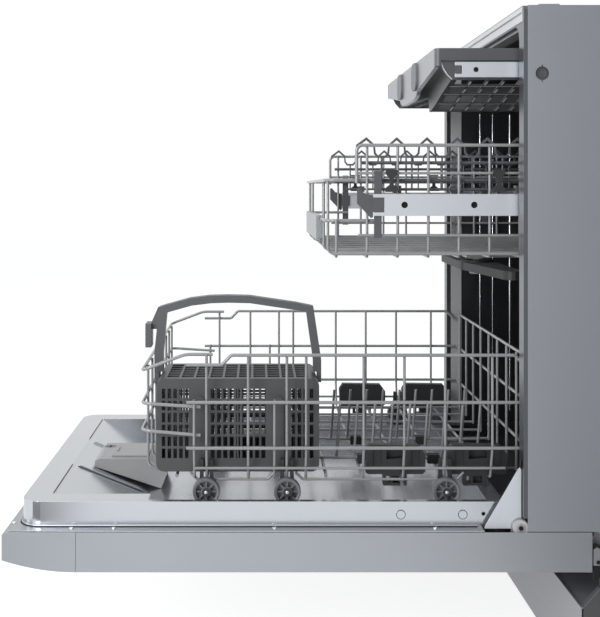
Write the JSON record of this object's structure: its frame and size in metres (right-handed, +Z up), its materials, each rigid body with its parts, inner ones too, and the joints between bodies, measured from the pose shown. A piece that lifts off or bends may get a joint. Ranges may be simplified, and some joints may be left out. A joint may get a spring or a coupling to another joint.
{
  "type": "built-in dishwasher",
  "caption": "Built-in dishwasher with its drop-down door open, wheeled lower rack, railed middle rack and shallow third rack pulled out.",
  "frame": {"origin": "centre of the footprint of the whole open machine, on the floor", "axes": "+Z up; -Y is the front, towards which the door opens; +X is the machine's left seen from its front"},
  "size_m": [0.598, 1.204, 0.8615],
  "materials": {
    "base_plastic": "moulded, dark",
    "panel_steel": "satin grey sheet",
    "galvanised": "zinc coated",
    "tub_steel": "satin stainless",
    "gasket_rubber": "matt",
    "toe_steel": "satin",
    "rack_plastic": "fine grained, dark grey",
    "pump_metal": "cast and turned",
    "white_plastic": "moulded, translucent white",
    "weight_iron": "rough cast",
    "pipe_plastic": "moulded grey",
    "spray_plastic": "moulded grey",
    "spring_steel": "oiled wire",
    "rail_steel": "bright zinc plated",
    "door_steel": "brushed stainless",
    "liner_steel": "satin stainless",
    "board": "circuit board",
    "dispenser_plastic": "warm grey moulding",
    "cover_plastic": "pale grey moulding",
    "bush_plastic": "cream moulding",
    "button_metal": "metallised",
    "rack_wire": "nylon coated wire",
    "grip_plastic": "satin silver"
  },
  "bodies": {
    "cabinet": {"base_tray": "base_plastic", "side_panels": "panel_steel", "rear_panel": "galvanised", "top_brackets": "galvanised", "tub": "tub_steel", "door_gasket": "gasket_rubber", "toe_panel": "toe_steel", "levelling_feet": "base_plastic", "sump": "base_plastic", "circulation_pump": "pump_metal", "drain_pump": "base_plastic", "water_inlet_valve": "white_plastic", "heat_exchanger": "white_plastic", "counterweight": "weight_iron", "feed_pipe": "pipe_plastic", "hinge_brackets": "galvanised", "door_springs": "spring_steel", "fixed_rails": "rail_steel"},
    "filter": {"coarse_filter": "rack_plastic"},
    "lower_arm": {"lower_spray_arm": "spray_plastic"},
    "latch": {"latch_hook": "rack_plastic"},
    "door": {"door_outer_panel": "door_steel", "control_panel": "door_steel", "door_liner": "liner_steel", "control_board": "board", "dispenser_body": "dispenser_plastic", "hinge_arms": "galvanised", "hinge_covers": "cover_plastic", "pivot_bushes": "bush_plastic"},
    "detergent_lid": {"dispenser_lid": "dispenser_plastic"},
    "rinse_aid_cap": {"rinse_cap": "rack_plastic"},
    "button_power": {"power_button": "button_metal"},
    "button_program": {"program_button": "button_metal"},
    "button_start": {"start_button": "button_metal"},
    "lower_rack": {"lower_rack_floor": "rack_wire", "lower_rack_sides": "rack_wire", "lower_rack_ends": "rack_wire", "lower_rack_clips": "rack_plastic"},
    "wheel_pair_front": {"wheels_front": "rack_plastic"},
    "wheel_pair_middle": {"wheels_middle": "rack_plastic"},
    "wheel_pair_rear": {"wheels_rear": "rack_plastic"},
    "tines_inner": {"tine_row_inner": "rack_wire"},
    "tines_outer": {"tine_row_outer": "rack_wire"},
    "silverware_basket": {"basket_body": "rack_plastic", "basket_handle": "rack_plastic"},
    "middle_rack": {"middle_rack_floor": "rack_wire", "middle_rack_sides": "rack_wire", "middle_rack_ends": "rack_wire", "middle_rack_handle": "grip_plastic", "middle_runners": "rail_steel", "runner_brackets": "rack_plastic", "upper_feed": "pipe_plastic"},
    "shelf_right": {"cup_shelf_right": "rack_plastic"},
    "shelf_left": {"cup_shelf_left": "rack_plastic"},
    "levers": {"height_levers": "rack_plastic"},
    "upper_arm": {"upper_spray_arm": "spray_plastic"},
    "third_rack": {"third_basket": "rack_plastic", "third_fascia": "grip_plastic", "third_grips": "rack_plastic", "third_runners": "rail_steel"}
  },
  "joints": [
    {"name": "door_hinge", "type": "hinge", "parent": "cabinet", "child": "door", "pos_m": [0, 0.052, 0.201], "axis": [-1, 0, 0], "range_deg": [0, 10]},
    {"name": "lower_rack_roll", "type": "slide", "parent": "door", "child": "lower_rack", "axis": [0, -1, 0], "range_m": [-0.48, 0]},
    {"name": "wheels_front_spin", "type": "hinge", "parent": "lower_rack", "child": "wheel_pair_front", "pos_m": [0.254, -0.3464, 0.2368], "axis": [1, 0, 0], "continuous": true},
    {"name": "wheels_middle_spin", "type": "hinge", "parent": "lower_rack", "child": "wheel_pair_middle", "pos_m": [0.254, -0.2414, 0.2368], "axis": [1, 0, 0], "continuous": true},
    {"name": "wheels_rear_spin", "type": "hinge", "parent": "lower_rack", "child": "wheel_pair_rear", "pos_m": [0.254, -0.0352, 0.2368], "axis": [1, 0, 0], "continuous": true},
    {"name": "tines_inner_fold", "type": "hinge", "parent": "lower_rack", "child": "tines_inner", "pos_m": [0.06, -0.06, 0.2616], "axis": [0, -1, 0], "range_deg": [0, 80]},
    {"name": "tines_outer_fold", "type": "hinge", "parent": "lower_rack", "child": "tines_outer", "pos_m": [0.175, -0.06, 0.2616], "axis": [0, -1, 0], "range_deg": [0, 80]},
    {"name": "basket_lift", "type": "slide", "parent": "lower_rack", "child": "silverware_basket", "axis": [0, 0, 1], "range_m": [0, 0.04]},
    {"name": "dispenser_lid_slide", "type": "slide", "parent": "door", "child": "detergent_lid", "axis": [0, -1, 0], "range_m": [0, 0.055]},
    {"name": "rinse_cap_turn", "type": "hinge", "parent": "door", "child": "rinse_aid_cap", "pos_m": [-0.03, -0.507, 0.23], "axis": [0, 0, 1], "range_deg": [0, 90]},
    {"name": "power_press", "type": "slide", "parent": "door", "child": "button_power", "axis": [0, 0, 1], "range_m": [0, 0.0015], "stiffness_N_per_m": 400},
    {"name": "program_press", "type": "slide", "parent": "door", "child": "button_program", "axis": [0, 0, 1], "range_m": [0, 0.0015], "stiffness_N_per_m": 400},
    {"name": "start_press", "type": "slide", "parent": "door", "child": "button_start", "axis": [0, 0, 1], "range_m": [0, 0.0015], "stiffness_N_per_m": 400},
    {"name": "middle_rack_slide", "type": "slide", "parent": "cabinet", "child": "middle_rack", "axis": [0, 1, 0], "range_m": [0, 0.285]},
    {"name": "shelf_right_fold", "type": "hinge", "parent": "middle_rack", "child": "shelf_right", "pos_m": [0.246, 0.06, 0.628], "axis": [0, -1, 0], "range_deg": [0, 80]},
    {"name": "shelf_left_fold", "type": "hinge", "parent": "middle_rack", "child": "shelf_left", "pos_m": [-0.246, 0.06, 0.628], "axis": [0, 1, 0], "range_deg": [0, 80]},
    {"name": "lever_lift", "type": "slide", "parent": "middle_rack", "child": "levers", "axis": [0, 0, 1], "range_m": [0, 0.004]},
    {"name": "upper_arm_spin", "type": "hinge", "parent": "middle_rack", "child": "upper_arm", "pos_m": [0, 0.055, 0.51], "axis": [0, 0, 1], "continuous": true},
    {"name": "third_rack_slide", "type": "slide", "parent": "cabinet", "child": "third_rack", "axis": [0, 1, 0], "range_m": [0, 0.115]},
    {"name": "filter_lift", "type": "slide", "parent": "cabinet", "child": "filter", "axis": [0, 0, 1], "range_m": [0, 0.05]},
    {"name": "lower_arm_spin", "type": "hinge", "parent": "cabinet", "child": "lower_arm", "pos_m": [0, 0.334, 0.228], "axis": [0, 0, 1], "continuous": true},
    {"name": "latch_press", "type": "slide", "parent": "cabinet", "child": "latch", "axis": [0, 0, -1], "range_m": [0, 0.004], "stiffness_N_per_m": 500, "springref_m": -0.002}
  ]
}
